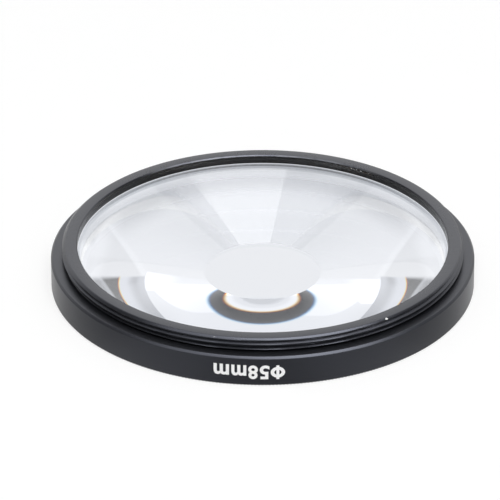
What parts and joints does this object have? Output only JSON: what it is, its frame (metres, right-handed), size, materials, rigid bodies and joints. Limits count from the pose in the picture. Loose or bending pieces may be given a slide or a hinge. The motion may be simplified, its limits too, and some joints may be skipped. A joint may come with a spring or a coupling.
{
  "type": "screw-in effect lens filter",
  "caption": "Round screw-in effect filter for a camera lens: black ring with a threaded collar and a plain side, dished prism glass inside, held by a ring with spanner notches.",
  "frame": {"origin": "centre of the front rim's flat face, which the filter lies on", "axes": "+Z along the optical axis, towards the threaded collar that screws into the lens"},
  "size_m": [0.0612, 0.0612, 0.0066],
  "materials": {
    "anodised_frame": "satin black anodised, finely turned",
    "optical_glass": "polished, with finely ground edge",
    "turned_ring": "bare, finely turned"
  },
  "bodies": {
    "root": {"filter_frame": "anodised_frame", "prism_glass": "optical_glass", "retaining_ring": "turned_ring"}
  },
  "joints": []
}
